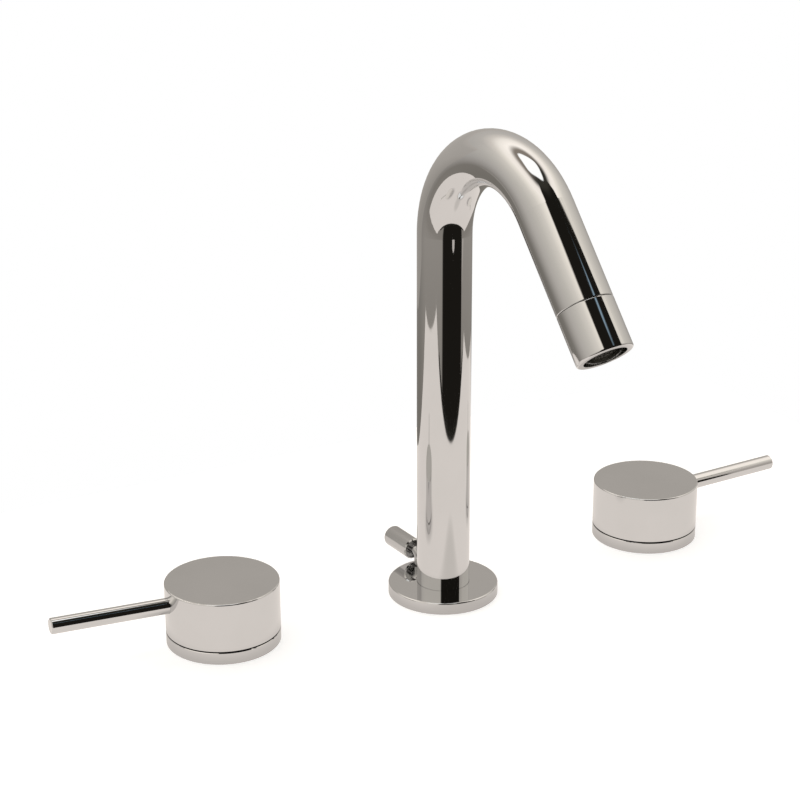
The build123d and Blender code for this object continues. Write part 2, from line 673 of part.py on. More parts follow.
def valve_body():
    """The body: water rises in the feed tube and leaves by the gallery round it, to +X."""
    inlet_foot = -BODY_FOOT_DEPTH - INLET_LENGTH
    outlet = side_axis(-OUTLET_AXIS_DEPTH)
    inlet = disc(INLET_RADIUS, inlet_foot, -BODY_FOOT_DEPTH)
    body = chamfer(rim(inlet, INLET_RADIUS, (0, 0, inlet_foot)), NIPPLE_CHAMFER)
    body += disc(BODY_FOOT_RADIUS, -BODY_FOOT_DEPTH, -BODY_THREAD_DEPTH)
    body += disc(BODY_RADIUS, -BODY_THREAD_DEPTH, BODY_TOP)
    body += bar(outlet, OUTLET_BOSS_RADIUS, 0, OUTLET_BOSS_REACH)
    body += hose_nipple(-OUTLET_AXIS_DEPTH)
    seat_foot = -SEAT_DEPTH - SEAT_HEIGHT
    gallery_top = -GALLERY_TOP_DEPTH
    body -= disc(CARTRIDGE_RADIUS + RUNNING_GAP, gallery_top, BODY_TOP + CUT_OVERRUN)
    body -= disc(GALLERY_RADIUS, -SEAT_DEPTH, gallery_top)
    body -= ring(GALLERY_RADIUS, SEAT_RADIUS, seat_foot, -SEAT_DEPTH)
    body -= ring(GALLERY_RADIUS, FEED_TUBE_RADIUS, -GALLERY_DEPTH, seat_foot)
    body -= disc(FEED_BORE, inlet_foot, -SEAT_DEPTH)
    body -= disc(INLET_BORE, inlet_foot - CUT_OVERRUN, inlet_foot + INLET_BORE_DEPTH)
    gallery_middle = (GALLERY_RADIUS + FEED_TUBE_RADIUS) / 2
    return body - bar(outlet, OUTLET_BORE, gallery_middle, HOSE_NIPPLE_REACH + CUT_OVERRUN)


def valve_nut():
    return hex_nut(
        VALVE_NUT_FLATS, BODY_RADIUS + RUNNING_GAP, STEEL_FOOT - VALVE_NUT_HEIGHT, STEEL_FOOT
    )


def spout_pieces():
    """Every piece of the spout unit, by name, in the place where it is fitted."""
    unit = Rot(0, 0, SPOUT_TURN)
    tip = unit * bend_end().offset(TAIL_LENGTH).location
    rod_hole = unit * Pos(0, ROD_BACK, 0)
    rod = rod_hole * Rot(0, 0, KNOB_HEADING - SPOUT_TURN)
    return {
        "spout_tube": unit * spout_tube(),
        "aerator_housing": tip * aerator_housing(),
        "aerator_insert": tip * aerator_insert(),
        "aerator_seal": tip * aerator_seal(),
        "spout_shank": unit * spout_shank(),
        "shank_o_rings": unit * shank_rings(),
        "spout_plate": unit * spout_plate(),
        "spout_gasket": unit * spout_gasket(),
        "lift_rod_bush": rod_hole * lift_rod_bush(),
        "lift_rod": rod * lift_rod(),
        "lift_knob": rod * lift_knob(),
        "spout_rubber_washer": unit * notched_washer(RUBBER_FOOT, -DECK_THICKNESS),
        "spout_steel_washer": unit * notched_washer(STEEL_FOOT, RUBBER_FOOT),
        "spout_nut": unit * spout_nut(),
        "union_nut": unit * union_nut(),
        "tee_seal": tee_seal(),
        "spout_tee": spout_tee(),
    }


def handle_pieces(name, x, heading, turn):
    """Every piece of one handle unit. The hot one opens with a turn of 1, the cold with -1."""
    place = Pos(x, HANDLE_Y, 0)
    closed = place * Rot(0, 0, heading)
    outlet = place * Rot(0, 0, 90 - turn * 90)
    bore = BODY_RADIUS + SHANK_HOLE_GAP
    pieces = {
        "handle_cap": closed * handle_cap(-turn),
        "lever_rod": closed * lever_rod(),
        "set_screw": closed * set_screw(-turn),
        "cartridge_stem": closed * cartridge_stem(),
        "stem_o_rings": closed * stem_rings(),
        "moving_disc": closed * moving_disc(),
        "fixed_disc": closed * fixed_disc(),
        "cartridge_housing": closed * cartridge_housing(turn),
        "cartridge_seal": place * cartridge_seal(),
        "glide_ring": place * glide_ring(),
        "base_ring": place * base_ring(),
        "base_gasket": place * base_gasket(),
        "valve_body": outlet * valve_body(),
        "rubber_washer": place * deck_washer(bore, RUBBER_FOOT, -DECK_THICKNESS),
        "steel_washer": place * deck_washer(bore, STEEL_FOOT, RUBBER_FOOT),
        "valve_nut": place * valve_nut(),
    }
    return {f"{name}_{piece}": shape for piece, shape in pieces.items()}


os.makedirs("parts", exist_ok=True)
nodes = spout_pieces()
nodes.update(handle_pieces("hot", HOT_X, HOT_HEADING, 1))
nodes.update(handle_pieces("cold", COLD_X, COLD_HEADING, -1))
for node, shape in nodes.items():
    export_step(shape, f"parts/{node}.step")
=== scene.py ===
import math

import bmesh
import bpy
from mathutils import Matrix, Vector


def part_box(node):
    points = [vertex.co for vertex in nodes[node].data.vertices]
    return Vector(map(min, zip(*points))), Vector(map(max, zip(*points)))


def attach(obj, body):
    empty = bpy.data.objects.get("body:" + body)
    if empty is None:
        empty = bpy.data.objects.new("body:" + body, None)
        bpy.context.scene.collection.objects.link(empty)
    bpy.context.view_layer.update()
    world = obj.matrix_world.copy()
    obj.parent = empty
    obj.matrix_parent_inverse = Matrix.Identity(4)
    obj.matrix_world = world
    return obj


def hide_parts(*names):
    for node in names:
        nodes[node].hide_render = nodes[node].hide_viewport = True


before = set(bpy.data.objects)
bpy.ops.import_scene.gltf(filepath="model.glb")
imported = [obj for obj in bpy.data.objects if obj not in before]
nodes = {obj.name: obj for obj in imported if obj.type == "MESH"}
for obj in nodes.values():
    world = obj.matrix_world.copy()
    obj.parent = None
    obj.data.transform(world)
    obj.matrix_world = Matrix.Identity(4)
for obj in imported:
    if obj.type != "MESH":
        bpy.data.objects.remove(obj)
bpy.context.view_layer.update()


# The viewpoint: a long lens a little above the basin, turned to the left of the three units,
# far enough for the whole width of the set to fill the square picture.
SENSOR_WIDTH, FOCAL_LENGTH = 36, 88.996


def point_camera(heading, elevation, roll, distance, target):
    """Stand the camera on its viewing line, given in degrees, looking at the target."""
    side, rise, tilt = (math.radians(angle) for angle in (heading, elevation, roll))
    back = Vector((math.sin(side) * math.cos(rise), -math.cos(side) * math.cos(rise), math.sin(rise)))
    right = Vector((0, 0, 1)).cross(back).normalized()
    up = back.cross(right)
    level = right * math.cos(tilt) + up * math.sin(tilt)
    upright = up * math.cos(tilt) - right * math.sin(tilt)
    turned = Matrix((level, upright, back)).transposed().to_4x4()
    camera = bpy.data.objects.new("viewpoint", bpy.data.cameras.new("viewpoint"))
    camera.matrix_world = Matrix.Translation(target + back * distance) @ turned
    camera.data.sensor_width = SENSOR_WIDTH
    camera.data.lens = FOCAL_LENGTH
    bpy.context.scene.collection.objects.link(camera)
    bpy.context.scene.camera = camera


point_camera(
    heading=-29.485,
    elevation=20.304,
    roll=-0.197,
    distance=0.915509,
    target=Vector((-0.023641, 0, 0.103273)),
)
bpy.context.scene.view_settings.view_transform = "Standard"


# The studio round the set, which polished metal shows: plain walls that pale upwards, a square
# diffuser overhead in a dark rim, and a dark gap in front, with a dim window high up in it.
class Number:
    """A number on a wire between nodes, so that their maths reads as an expression."""

    def __init__(self, wiring, socket):
        self.wiring = wiring
        self.socket = socket

    def __add__(self, other):
        return self.wiring.math("ADD", self, other)

    def __sub__(self, other):
        return self.wiring.math("SUBTRACT", self, other)

    def __mul__(self, other):
        return self.wiring.math("MULTIPLY", self, other)

    def __truediv__(self, other):
        return self.wiring.math("DIVIDE", self, other)

    def __pow__(self, other):
        return self.wiring.math("POWER", self, other)

    def __rsub__(self, other):
        return self.wiring.math("SUBTRACT", other, self)

    def __rtruediv__(self, other):
        return self.wiring.math("DIVIDE", other, self)

    def __neg__(self):
        return self.wiring.math("MULTIPLY", self, -1)

    def __abs__(self):
        return self.wiring.math("ABSOLUTE", self)

    __radd__, __rmul__ = __add__, __mul__

    def at_least(self, low):
        return self.wiring.math("MAXIMUM", self, low)

    def at_most(self, high):
        return self.wiring.math("MINIMUM", self, high)

    def rise(self, low, high):
        """A smooth step from 0 at low to 1 at high."""
        made = self.wiring.node(
            "ShaderNodeMapRange",
            {"interpolation_type": "SMOOTHSTEP"},
            {"Value": self, "From Min": low, "From Max": high},
        )
        return Number(self.wiring, made.outputs[0])

    def swing(self, amount):
        """A noise as a change up and down about nought, by an amount in all."""
        return (self - 0.5) * amount


class Wiring:
    """The nodes of one tree: a finish, the world, or a tool that cuts a mesh."""

    def __init__(self, tree):
        self.tree = tree

    def node(self, kind, settings=None, sockets=None):
        """A node with its settings, and then its sockets as values or as what is linked to them. A
        node given for a socket links its first output."""
        made = self.tree.nodes.new(kind)
        for name, value in (settings or {}).items():
            if name == "stops":
                ramp = made.color_ramp.elements
                while len(ramp) < len(value):
                    ramp.new(1)
                for stop, (place, tone) in zip(ramp, value):
                    stop.position = place
                    stop.color = tone
            else:
                setattr(made, name, value)
        for name, value in (sockets or {}).items():
            if isinstance(value, Number):
                value = value.socket
            elif isinstance(value, bpy.types.Node):
                value = value.outputs[0]
            if isinstance(value, bpy.types.NodeSocket):
                self.tree.links.new(value, made.inputs[name])
            else:
                made.inputs[name].default_value = value
        return made

    def math(self, operation, *values):
        made = self.node("ShaderNodeMath", {"operation": operation}, dict(enumerate(values)))
        return Number(self, made.outputs[0])


class Shader(Wiring):
    """The nodes of a finish or of the world."""

    def __init__(self, owner):
        owner.use_nodes = True
        super().__init__(owner.node_tree)
        self.owner = owner
        self.tree.nodes.clear()

    def blend(self, share, first, second):
        """The second colour over the first, by a share."""
        sockets = {0: share, 6: first, 7: second}
        return self.node("ShaderNodeMix", {"data_type": "RGBA"}, sockets).outputs[2]

    def scale(self, tone, factor):
        """A colour times a factor."""
        return self.node("ShaderNodeVectorMath", {"operation": "SCALE"}, {0: tone, "Scale": factor})

    def ramp(self, value, low, high, tones):
        """The colour that goes with a value from low to high. The tones are rows of a value and
        its red, green and blue."""
        stops = [((place - low) / (high - low), colour(*tone)) for place, *tone in tones]
        return self.node("ShaderNodeValToRGB", {"stops": stops}, {"Fac": (value - low) / (high - low)})

    def distance(self, across, along):
        """How far a point is from an axis, by its distances in two directions."""
        return self.math("SQRT", across * across + along * along)

    def parts(self, vector):
        """The three numbers of a vector."""
        made = self.node("ShaderNodeSeparateXYZ", None, {"Vector": vector})
        return [Number(self, socket) for socket in made.outputs]

    def points(self, system):
        """The three coordinates of each point, in one of Blender's systems."""
        return self.parts(self.node("ShaderNodeTexCoord").outputs[system])

    def upward(self):
        """How far the surface faces up, from -1 to 1."""
        return self.parts(self.node("ShaderNodeNewGeometry").outputs["Normal"])[2]

    def camera_sees(self):
        """1 where the camera itself looks, and 0 in reflections and in light."""
        return Number(self, self.node("ShaderNodeLightPath").outputs["Is Camera Ray"])

    def place(self, seed):
        """Object coordinates, moved by a seed so that no two finishes share their marks."""
        vector = self.node("ShaderNodeTexCoord").outputs["Object"]
        return self.node("ShaderNodeMapping", None, {"Vector": vector, "Location": (seed, -seed, seed)})

    def noise(self, vector, scale, detail):
        values = {"Vector": vector, "Scale": scale, "Detail": detail}
        return Number(self, self.node("ShaderNodeTexNoise", None, values).outputs[0])

    def emission(self, tone, strength=1.0):
        return self.node("ShaderNodeEmission", None, {"Color": tone, "Strength": strength})

    def surface(self, tone, rough, relief, depth, metal=0.0):
        """A finished skin: its colour, its roughness and a relief of a depth in metres."""
        bump = self.node("ShaderNodeBump", None, {"Strength": 0.5, "Distance": depth, "Height": relief})
        values = {"Base Color": tone, "Metallic": metal, "Roughness": rough, "Normal": bump}
        return self.finish(self.node("ShaderNodeBsdfPrincipled", None, values))

    def finish(self, surface):
        kind = "World" if isinstance(self.owner, bpy.types.World) else "Material"
        self.node(f"ShaderNodeOutput{kind}", None, {"Surface": surface})
        return self.owner


def colour(*levels):
    """A colour written as it looks, as red, green and blue of 0 to 255, turned into light."""
    lights = (
        ((level / 255 + 0.055) / 1.055) ** 2.4 if level > 10 else level / 3295 for level in levels
    )
    return (*lights, 1)


def grey(light):
    return (light, light, light, 1)


# The plating throws back this share of the light. All that it mirrors is brighter by as much, so
# that a mirrored colour comes out as it is written.
SHEEN = 0.68

# The walls, as rows of degrees above level and the colour there. Headings are in degrees to the
# right of straight ahead. The front wall gives way to the back wall so far to each side.
FRONT_WALL = (
    (-20, 125, 120, 114), (-10, 152, 147, 141), (0, 169, 164, 158),
    (20, 186, 181, 173), (35, 204, 198, 189), (45, 227, 220, 209),
    (52, 241, 233, 224), (62, 234, 226, 217), (72, 246, 241, 234),
)
BACK_WALL = (
    (-20, 110, 106, 100), (-10, 136, 132, 128), (0, 149, 146, 142),
    (20, 167, 163, 158), (33, 177, 172, 166), (42, 200, 193, 185),
    (50, 232, 225, 216), (58, 248, 240, 231), (72, 250, 245, 238),
)
LOWEST, HIGHEST = -25, 90
FRONT_MIDDLE, FRONT_END = -8, (105, 155)
DEGREES = 180 / math.pi

world = bpy.context.scene.world = bpy.data.worlds.new("studio")
studio = Shader(world)
x, y, z = studio.points("Generated")
heading = studio.math("ARCTAN2", x, -y) * DEGREES
height = studio.math("ARCSINE", z) * DEGREES
walls = [studio.ramp(height, LOWEST, HIGHEST, tones) for tones in (BACK_WALL, FRONT_WALL)]
light = studio.blend(1 - abs(heading - FRONT_MIDDLE).rise(*FRONT_END), *walls)

# The gap, between soft edges, is narrowest at the window's height. Below that its right side leans
# out, ever less, and comes back in towards the floor, and its left side bows out a little.
GAP_LEFT, GAP_RIGHT, GAP_TOP = (-42, -36), (43.6, 46.4), (0.93, 0.955)
LEAN_HEIGHT, LEAN_DEPTH, LEAN_SLOPE, LEAN_EASE, LEAN_FOOT = 50.4, 8, 2.45, 0.075, (5, 36)
PINCH, BOW = 4, 2
below = (LEAN_HEIGHT - height).at_least(0).at_most(LEAN_DEPTH)
lean = height.rise(*LEAN_FOOT) * below * (LEAN_SLOPE - below * LEAN_EASE)
right_shift = lean + height.rise(50, 54) * PINCH
left_shift = height.rise(45, 50) * (1 - height.rise(54, 60)) * PINCH - height.rise(0, 40) * BOW
left_side = (heading - left_shift).rise(*GAP_LEFT)
right_side = 1 - (heading - right_shift).rise(*GAP_RIGHT)
gap = left_side * right_side * (1 - z.rise(*GAP_TOP))
light = studio.blend(gap, light, colour(24, 22, 19))

# The window: a low, wide slot high up in the gap, dim and bluish.
WINDOW_HEADING, WINDOW_SIDE, WINDOW_FOOT, WINDOW_HEAD = 22, (3, 11), (49.8, 51.9), (51.4, 52.6)
WINDOW_SHARE = 0.6
window = 1 - abs(heading - WINDOW_HEADING).rise(*WINDOW_SIDE)
window = window * height.rise(*WINDOW_FOOT) * (1 - height.rise(*WINDOW_HEAD))
light = studio.blend(window * WINDOW_SHARE, light, colour(172, 200, 219))

# The diffuser and its rim, turned square to the camera. Sizes are per metre of height.
TURN_COSINE, TURN_SINE = 0.8705, 0.4922
RIM_EDGE, RIM_SHADE = (0.38, 0.6), (-0.35, 0.35)
HALF_WIDTH, HALF_LENGTH, OFF_CENTRE = 0.275, 0.24, -0.01
SQUARENESS, SQUARE_EDGE = 4, (0.7, 1.4)
climb = z.at_least(0.001)
across = (x * TURN_COSINE - y * TURN_SINE) / climb
along = (x * -TURN_SINE - y * TURN_COSINE) / climb
overhead = z.rise(0.1, 0.2)
rim = studio.blend((across + along).rise(*RIM_SHADE), colour(128, 119, 110), colour(48, 46, 41))
light = studio.blend((1 - studio.distance(across, along).rise(*RIM_EDGE)) * overhead, light, rim)
square = (abs(across - OFF_CENTRE) / HALF_WIDTH) ** SQUARENESS
square = square + (abs(along - OFF_CENTRE) / HALF_LENGTH) ** SQUARENESS
light = studio.blend((1 - square.rise(*SQUARE_EDGE)) * overhead, light, colour(255, 255, 253))

seen = studio.camera_sees()
light = studio.blend(seen, light, grey(1))
light = studio.scale(light, seen + (1 - seen) / SHEEN)
studio.finish(studio.node("ShaderNodeBackground", None, {"Color": light}))


# The basin deck that the set stands on: a pale slab, 25 mm thick, seen as plain white from above,
# with the wider slab round it, and plain walls near it, that only the metal mirrors.
FRONT_SHADE = (-0.224, -0.217)
# Where the painted shadow of the spout lies, and how far the painted contact shadow reaches from the
# feet.
SPOUT_SHADOW_CENTRE, SPOUT_SHADOW_HALF_WIDTH, SPOUT_SHADOW_HALF_LENGTH = (-0.004, -0.06), 0.026, 0.05
SPOUT_SHADOW_EDGE = (0.1, 1.7)
FOOT_SHADE = (-0.002, 0.017)


def middle(name):
    """Where the upright axis of a round node stands."""
    low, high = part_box(name)
    return (low.x + high.x) / 2, (low.y + high.y) / 2


def table_finish(name):
    """White to the camera, where a painted glow is added to the light, brighter on the top than on the
    edges. The metal mirrors a glowing pale top that ends in the dark at its front, with a painted
    shadow of the spout before its foot and a painted contact shadow close round the three feet."""
    shader = Shader(bpy.data.materials.new(name))
    x, y = shader.points("Object")[:2]
    tone = shader.blend(1 - y.rise(*FRONT_SHADE), colour(206, 199, 193), colour(28, 27, 23))
    # Painted shadow of the spout, on the top that the metal mirrors, just before the spout's foot.
    spout_shadow = ((x - SPOUT_SHADOW_CENTRE[0]) / SPOUT_SHADOW_HALF_WIDTH) ** 2
    spout_shadow = spout_shadow + ((y - SPOUT_SHADOW_CENTRE[1]) / SPOUT_SHADOW_HALF_LENGTH) ** 2
    tone = shader.blend(1 - spout_shadow.rise(*SPOUT_SHADOW_EDGE), tone, colour(187, 181, 175))
    # Painted contact shadow: the mirrored top is darker close round the three feet.
    out = 1.0
    for foot in ("spout_plate", "hot_base_ring", "cold_base_ring"):
        low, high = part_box(foot)
        centre = middle(foot)
        beside = shader.distance(x - centre[0], y - centre[1]) - (high.x - low.x) / 2
        out = beside.at_most(out)
    tone = shader.blend(out.rise(*FOOT_SHADE), colour(178, 172, 167), tone)
    mirrored = shader.emission(tone, strength=1 / SHEEN)
    lit = shader.node("ShaderNodeBsdfDiffuse", None, {"Color": grey(0.8)})
    # Painted light: to the camera the deck glows on top of being lit, more on its top than on its
    # edges.
    painted_glow = shader.emission(shader.blend(shader.upward().rise(0.2, 0.9), grey(0.3), grey(0.62)))
    top = shader.node("ShaderNodeAddShader", None, {0: lit, 1: painted_glow})
    choice = {0: shader.camera_sees(), 1: mirrored, 2: top}
    return shader.finish(shader.node("ShaderNodeMixShader", None, choice))


def wall_finish(name, *tones):
    """A plain wall as the metal mirrors it: it glows as painted light, in tones that change with its
    height. The tones are rows of a height in metres and its red, green and blue."""
    shader = Shader(bpy.data.materials.new(name))
    height = shader.points("Object")[2]
    # Painted light: the wall glows, in tones that pale towards its top.
    wall_glow = shader.ramp(height, low=0, high=1, tones=tones)
    return shader.finish(shader.emission(wall_glow, strength=1 / SHEEN))


def slab(name, finish, x, y, z, edge=0.0):
    """A slab from one place to another on each axis, in metres, its edges rounded by so much."""
    mesh = bmesh.new()
    bmesh.ops.create_cube(mesh, size=1)
    for corner in mesh.verts:
        sides = zip(corner.co, (x, y, z))
        corner.co = [low + (high - low) * (share + 0.5) for share, (low, high) in sides]
    if edge:
        bmesh.ops.bevel(mesh, geom=mesh.edges, offset=edge, segments=4, affect="EDGES", profile=0.5)
    data = bpy.data.meshes.new(name)
    mesh.to_mesh(data)
    mesh.free()
    data.materials.append(finish)
    made = bpy.data.objects.new(name, data)
    bpy.context.scene.collection.objects.link(made)
    return made


def screen(name, finish, x, y, z):
    """A slab that only the metal mirrors."""
    made = slab(name, finish, x, y, z)
    made.visible_camera = False
    made.visible_diffuse = False
    made.visible_shadow = False
    made.visible_transmission = False


pale_deck = table_finish("pale_deck")
slab("deck", pale_deck, x=(-0.3, 0.3), y=(-0.245, 0.2), z=(-0.025, 0), edge=0.003)
screen("wide_table", pale_deck, x=(-0.43, 0.36), y=(-0.22, 0.2), z=(-0.0016, -0.0008))
screen(
    "side_wall",
    wall_finish("side_wall", (0.2, 158, 152, 146), (0.4, 176, 170, 163), (0.6, 190, 184, 176)),
    x=(0.605, 1.6), y=(-0.605, -0.6), z=(-0.1, 0.7),
)
screen(
    "side_wall_head",
    wall_finish("side_wall_head", (0.7, 193, 187, 179), (0.95, 207, 201, 191), (1.0, 210, 204, 194)),
    x=(0.83, 1.6), y=(-0.605, -0.6), z=(0.7, 1.3),
)
screen(
    "back_wall",
    wall_finish(
        "back_wall",
        (0.06, 143, 138, 132), (0.22, 157, 152, 146), (0.38, 160, 155, 149), (0.46, 170, 164, 158),
    ),
    x=(-0.42, 0.85), y=(0.52, 0.525), z=(-0.02, 0.46),
)


# The spout: one drawn brass tube, bent over and polished, with a turned sleeve of the same outer
# size on its end. Both are nickel and chrome plated, and carry the faint haze of a cloth.
def chrome(name, seed, sheen=SHEEN, polish=0.04):
    """Plate that throws back a share of the light, with the roughness that its polish left."""
    shader = Shader(bpy.data.materials.new(name))
    place = shader.place(seed)
    haze = shader.noise(place, scale=38.0, detail=4.0)
    wipe = shader.noise(place, scale=900.0, detail=2.0)
    ripple = shader.noise(place, scale=70.0, detail=1.0)
    bright = (sheen + 0.01, sheen + 0.01, sheen + 0.012, 1)
    dull = (sheen - 0.012, sheen - 0.01, sheen - 0.01, 1)
    tone = shader.blend(haze.rise(0.3, 0.75), bright, dull)
    rough = polish + haze.swing(0.03) + wipe.swing(0.02)
    return shader.surface(tone, rough, ripple, depth=0.00002, metal=1.0)


def dress(material, *names):
    """Give CAD pieces a finish, in the slot that they came with."""
    for name in names:
        nodes[name].material_slots[0].material = material


dress(chrome("chrome_spout", 0.0), "spout_tube", "aerator_housing")
dress(chrome("chrome_foot", 0.4), "spout_plate")


# The aerator: a grey moulded insert pressed up into the sleeve on a rubber ring, painted darker for the
# shade in the sleeve's recess.
# The ring, and the seals in the foot and below it, are black rubber with a bloom of talc.
def moulded(name, seed, light, shade, polish, fineness):
    """Moulded plastic or pressed ceramic, clouded between two colours."""
    shader = Shader(bpy.data.materials.new(name))
    place = shader.place(seed)
    grain = shader.noise(place, scale=fineness, detail=2.0)
    cloud = shader.noise(place, scale=60.0, detail=3.0)
    tone = shader.blend(cloud.rise(0.3, 0.8), (*light, 1), (*shade, 1))
    rough = polish + grain.swing(0.12) + cloud.swing(0.1)
    return shader.surface(tone, rough, grain, depth=0.00001)


def rubber(name, seed):
    """Black rubber with a pebbled skin, greyed in places by talc."""
    black, dusty = (0.026, 0.026, 0.027, 1), (0.085, 0.083, 0.08, 1)
    shader = Shader(bpy.data.materials.new(name))
    place = shader.place(seed)
    pebble = shader.noise(place, scale=2200.0, detail=2.0)
    talc = shader.noise(place, scale=90.0, detail=4.0)
    tone = shader.blend(talc.rise(0.45, 0.85) * 0.5, black, dusty)
    rough = 0.62 + pebble.swing(0.2) + talc.rise(0.4, 0.8) * 0.14
    return shader.surface(tone, rough, pebble, depth=0.00006)


# Painted shade: the insert's colours are darkened for its place deep in the sleeve.
grey_insert = moulded(
    "grey_insert", 0.2,
    light=(0.085, 0.083, 0.07), shade=(0.115, 0.112, 0.096), polish=0.5, fineness=500.0,
)
dress(grey_insert, "aerator_insert")
dress(rubber("black_rubber", 0.3), "aerator_seal", "shank_o_rings", "spout_gasket", "tee_seal")


# The lift rod of the drain: plated bar with its top bent back, in a black guide bush, with a plain
# plated cylinder pushed on its end to pull it by. Both are buffed less smooth than the spout, and their
# plating is darkened as painted shade, the rod's most.
black_bush = moulded(
    "black_bush", 0.5,
    light=(0.03, 0.03, 0.031), shade=(0.045, 0.045, 0.045), polish=0.42, fineness=1800.0,
)
# Painted shade: the knob throws back less light than the spout, and the rod less again.
dress(chrome("chrome_knob", 0.9, sheen=SHEEN - 0.11, polish=0.14), "lift_knob")
dress(chrome("chrome_rod", 1.7, sheen=SHEEN - 0.26, polish=0.16), "lift_rod")
dress(black_bush, "lift_rod_bush")


# The shank: turned brass with a pipe thread from end to end, which the tube stands on and the nuts
# below the deck run on. A lathe leaves fine rings on it, and handling dulls it.
OUT_OF_REACH = (1.0, 2.0)
CAST_EDGE = 0.0004
ARM_EDGE = (0.0139, 0.0141)


def brass(name, seed, centre, cast=OUT_OF_REACH, arm_height=None):
    """Brass turned about an upright axis and, where it has a side arm, about that arm too. It is
    left as cast between two heights, which no piece reaches unless they are given."""
    clean, stained, sandy = (0.72, 0.56, 0.30, 1), (0.57, 0.43, 0.22, 1), (0.60, 0.47, 0.27, 1)
    shader = Shader(bpy.data.materials.new(name))
    x, y, z = shader.points("Object")
    x, y = x - centre[0], y - centre[1]
    out, height = shader.distance(x, y), z
    as_cast = z.rise(cast[0] - CAST_EDGE, cast[0]) * (1 - z.rise(cast[1], cast[1] + CAST_EDGE))
    if arm_height is not None:
        arm = abs(x).rise(*ARM_EDGE)
        out = out + arm * (shader.distance(y, z - arm_height) - out)
        height = z + arm * (x - z)
        as_cast = as_cast * (1 - arm)
    lathe = shader.node("ShaderNodeCombineXYZ", None, {0: out, 1: height, 2: seed})
    rings = shader.noise(lathe, scale=5200.0, detail=1.0)
    place = shader.place(seed)
    stain = shader.noise(place, scale=55.0, detail=4.0)
    grain = shader.noise(place, scale=1500.0, detail=3.0)
    tone = shader.blend(stain.rise(0.35, 0.75), clean, stained)
    tone = shader.blend(as_cast * 0.5, tone, sandy)
    rough = 0.24 + stain.rise(0.3, 0.8) * 0.16 + rings.swing(0.14) * (1 - as_cast) + as_cast * 0.18
    relief = rings * (1 - as_cast) + grain * as_cast * 3
    return shader.surface(tone, rough, relief, depth=0.00004, metal=1.0)


# The groove's three corners, from the middle of the V, and how deep that middle is sunk, for a
# pitch of one. The groove is cut in the plain piece's mesh once its doubles are welded.
CORNER_PER_PITCH, SINK_PER_PITCH = 0.48, 0.13
STEPS_PER_TURN = 40
WELD_DISTANCE = 0.000002
SHARP_ANGLE = math.radians(30)
UPRIGHT = (0, 0, 0)


def thread_tool():
    """A node group that cuts a helical V groove into a mesh, as a threading tool does."""
    tree = bpy.data.node_groups.new("thread_tool", "GeometryNodeTree")
    tree.interface.new_socket("Geometry", in_out="INPUT", socket_type="NodeSocketGeometry")
    for name, kind in (
        ("Radius", "Float"), ("Pitch", "Float"), ("Turns", "Float"),
        ("Start", "Vector"), ("Heading", "Rotation"), ("Finish", "Material"),
    ):
        tree.interface.new_socket(name, in_out="INPUT", socket_type=f"NodeSocket{kind}")
    tree.interface.new_socket("Geometry", in_out="OUTPUT", socket_type="NodeSocketGeometry")
    tool = Wiring(tree)
    given = tool.node("NodeGroupInput").outputs
    radius, pitch, turns = (Number(tool, given[name]) for name in ("Radius", "Pitch", "Turns"))
    path = radius - pitch * SINK_PER_PITCH
    helix = tool.node(
        "GeometryNodeCurveSpiral", None,
        {
            "Resolution": STEPS_PER_TURN, "Rotations": turns, "Height": pitch * turns,
            "Start Radius": path, "End Radius": path,
        },
    )
    helix = tool.node("GeometryNodeSetCurveNormal", {"mode": "Z_UP"}, {"Curve": helix})
    corners = tool.node(
        "GeometryNodeCurvePrimitiveCircle", {"mode": "RADIUS"},
        {"Resolution": 3, "Radius": pitch * CORNER_PER_PITCH},
    )
    groove = tool.node(
        "GeometryNodeCurveToMesh", None,
        {"Curve": helix, "Profile Curve": corners, "Fill Caps": True},
    )
    groove = tool.node(
        "GeometryNodeTransform", None,
        {"Geometry": groove, "Translation": given["Start"], "Rotation": given["Heading"]},
    )
    blank = tool.node(
        "GeometryNodeMergeByDistance", None,
        {"Geometry": given["Geometry"], "Distance": WELD_DISTANCE},
    )
    cut = tool.node(
        "GeometryNodeMeshBoolean", {"operation": "DIFFERENCE", "solver": "EXACT"},
        {"Mesh 1": blank, "Mesh 2": groove},
    )
    real = tool.node("GeometryNodeRealizeInstances", None, {"Geometry": cut})
    finished = tool.node(
        "GeometryNodeSetMaterial", None,
        {"Geometry": real, "Material": given["Finish"]},
    )
    tool.node("NodeGroupOutput", None, {0: finished})
    return tree


threading = thread_tool()


def thread(size, turns, start, heading=UPRIGHT):
    """What one cut of the tool is given. The size is a radius and a pitch, in metres."""
    radius, pitch = size
    return {"Radius": radius, "Pitch": pitch, "Turns": turns, "Start": start, "Heading": heading}


def threaded(name, finish, *threads):
    """Put a piece with its threads cut in the place of the plain CAD piece."""
    source = nodes[name]
    piece = bpy.data.objects.new(f"{name}_threaded", source.data.copy())
    piece.matrix_world = source.matrix_world.copy()
    bpy.context.scene.collection.objects.link(piece)
    for values in threads:
        values["Finish"] = finish
        modifier = piece.modifiers.new("thread", "NODES")
        modifier.node_group = threading
        for socket in threading.interface.items_tree:
            if socket.name in values:
                modifier[socket.identifier] = values[socket.name]
    settled = bpy.context.evaluated_depsgraph_get()
    settled.update()
    mesh = bpy.data.meshes.new_from_object(piece.evaluated_get(settled))
    piece.modifiers.clear()
    piece.data = mesh
    mesh.shade_smooth()
    mesh.set_sharp_from_angle(angle=SHARP_ANGLE)
    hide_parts(name)
    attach(piece, "fixed_parts")


SPOUT_AXIS = (0, 0)
PIPE_HALF, THREAD_FOOT = (0.0104775, 0.001814), -0.0577
shank_brass = brass("brass_shank", 0.1, SPOUT_AXIS)
threaded("spout_shank", shank_brass, thread(PIPE_HALF, turns=18.2, start=(*SPOUT_AXIS, THREAD_FOOT)))


